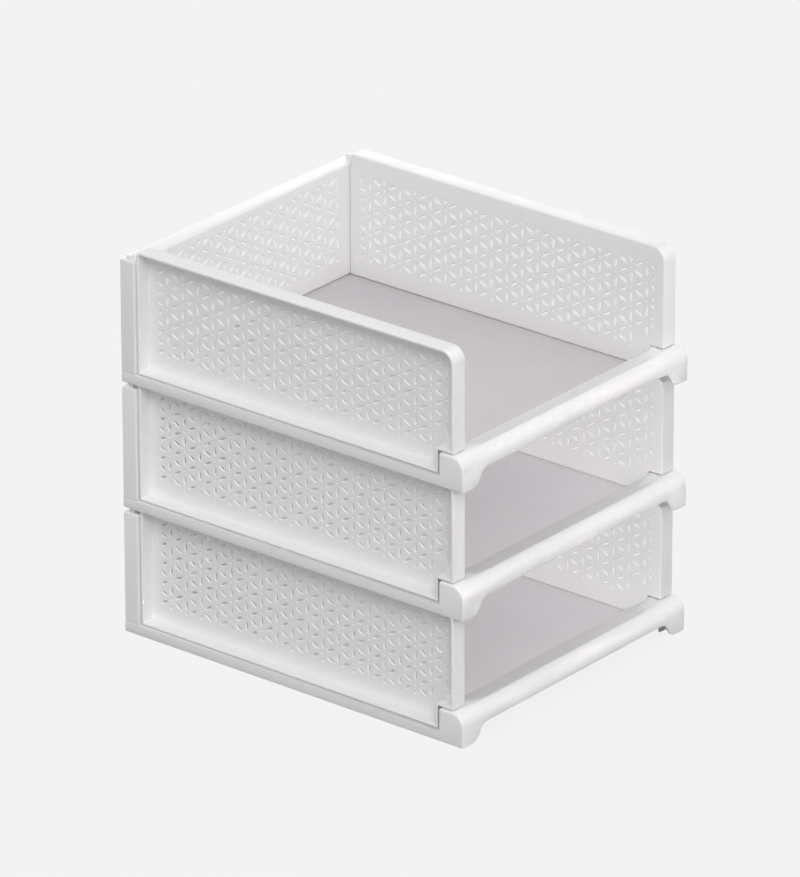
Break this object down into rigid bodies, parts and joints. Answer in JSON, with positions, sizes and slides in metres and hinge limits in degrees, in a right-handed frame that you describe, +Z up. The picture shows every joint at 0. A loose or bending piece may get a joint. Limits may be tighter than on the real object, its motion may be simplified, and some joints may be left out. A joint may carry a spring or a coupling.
{
  "type": "stackable storage box",
  "caption": "Stack of open-front plastic storage boxes with leaf-cut walls, a drop-in floor and a rounded front bar; each upper box slides forward on the wall tops of the box below.",
  "frame": {"origin": "on the ground under the middle of the stack", "axes": "+X right seen from the open front, +Y to the rear, +Z up"},
  "size_m": [0.344, 0.42, 0.402],
  "materials": {
    "white_plastic": "satin moulded white",
    "floor_plastic": "matt moulded warm grey"
  },
  "bodies": {
    "tier_1": {"tier_1_base_frame": "white_plastic", "tier_1_floor_panel": "floor_plastic", "tier_1_left_wall": "white_plastic", "tier_1_right_wall": "white_plastic", "tier_1_back_wall": "white_plastic"},
    "tier_2": {"tier_2_base_frame": "white_plastic", "tier_2_floor_panel": "floor_plastic", "tier_2_left_wall": "white_plastic", "tier_2_right_wall": "white_plastic", "tier_2_back_wall": "white_plastic"},
    "tier_3": {"tier_3_base_frame": "white_plastic", "tier_3_floor_panel": "floor_plastic", "tier_3_left_wall": "white_plastic", "tier_3_right_wall": "white_plastic", "tier_3_back_wall": "white_plastic"}
  },
  "joints": [
    {"name": "tier_2_slide", "type": "slide", "parent": "tier_1", "child": "tier_2", "axis": [0, -1, 0], "range_m": [0, 0.2]},
    {"name": "tier_3_slide", "type": "slide", "parent": "tier_2", "child": "tier_3", "axis": [0, -1, 0], "range_m": [0, 0.2]}
  ]
}
